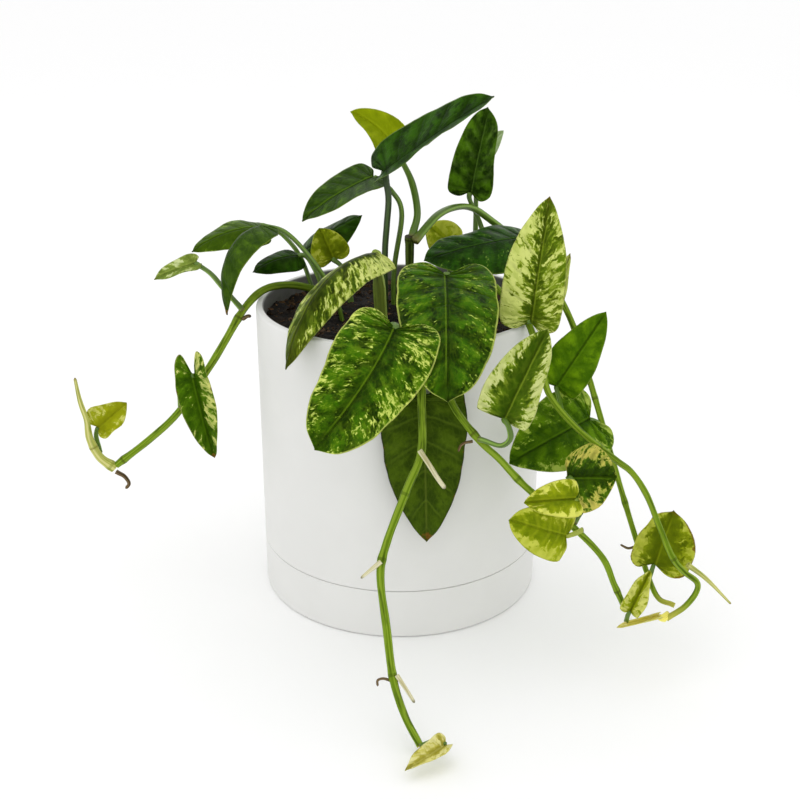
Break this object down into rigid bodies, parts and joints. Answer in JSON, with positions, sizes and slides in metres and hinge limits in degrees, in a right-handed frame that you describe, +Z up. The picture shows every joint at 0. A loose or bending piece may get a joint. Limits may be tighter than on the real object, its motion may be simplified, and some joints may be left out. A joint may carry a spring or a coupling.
{
  "type": "potted pothos plant",
  "caption": "Golden pothos with marbled heart-shaped leaves on long stalks and trailing stems, in a straight white pot set flush on its drip saucer.",
  "frame": {"origin": "centre of the saucer's underside, on the surface it stands on", "axes": "+Z up along the pot's axis; -Y towards the shoot that trails furthest forward; +X towards the side with the three falling shoots"},
  "size_m": [0.3293, 0.2621, 0.2633],
  "materials": {
    "white_matte": "smooth matte white",
    "dark_soil": "loose bark and peat mix, matte",
    "stem_green": "waxy green shoot, satin",
    "stem_dark": "older dark green shoot, satin",
    "leaf_dark": "plain dark green leaf, satin",
    "leaf_green": "mid-green leaf, satin",
    "leaf_olive": "old olive leaf, matte",
    "leaf_marbled": "green leaf flecked with yellow-green, satin",
    "leaf_cream": "mostly cream leaf flecked with green, satin",
    "leaf_young": "thin young yellow-green leaf, satin",
    "sheath_cream": "dry papery sheath",
    "root_brown": "dry brown aerial root"
  },
  "bodies": {
    "root": {"leaf_back_left": "leaf_dark", "leaf_back_round": "leaf_marbled", "leaf_back_small": "leaf_green", "leaf_back_tall": "leaf_dark", "leaf_front_cream": "leaf_cream", "leaf_front_large": "leaf_marbled", "leaf_front_low": "leaf_olive", "leaf_front_right": "leaf_marbled", "leaf_front_tip": "leaf_young", "leaf_left_arched": "leaf_green", "leaf_left_cupped": "leaf_young", "leaf_left_hanging": "leaf_green", "leaf_left_long": "leaf_dark", "leaf_left_short": "leaf_dark", "leaf_left_tip": "leaf_young", "leaf_low_cupped": "leaf_young", "leaf_low_folded": "leaf_young", "leaf_low_tip": "leaf_young", "leaf_right_behind": "leaf_young", "leaf_right_bright": "leaf_cream", "leaf_right_folded": "leaf_young", "leaf_right_golden": "leaf_young", "leaf_right_low": "leaf_green", "leaf_right_plain": "leaf_green", "leaf_right_round": "leaf_dark", "leaf_right_side": "leaf_cream", "leaf_right_tall": "leaf_cream", "leaf_right_upper": "leaf_marbled", "leaf_top_left": "leaf_green", "leaf_top_long": "leaf_dark", "leaf_top_young": "leaf_young", "pot": "white_matte", "potting_soil": "dark_soil", "root_front_lower": "root_brown", "root_left_elbow": "root_brown", "root_left_rim": "root_brown", "root_right_back": "root_brown", "root_right_front": "root_brown", "saucer": "white_matte", "sheath_front_lower": "sheath_cream", "sheath_front_middle": "sheath_cream", "sheath_front_upper": "sheath_cream", "shoot_left": "leaf_young", "spear_right": "leaf_young", "stem_centre": "stem_dark", "stem_front": "stem_green", "stem_left": "stem_green", "stem_right_back": "stem_dark", "stem_right_front": "stem_green", "stem_right_middle": "stem_green"}
  },
  "joints": []
}
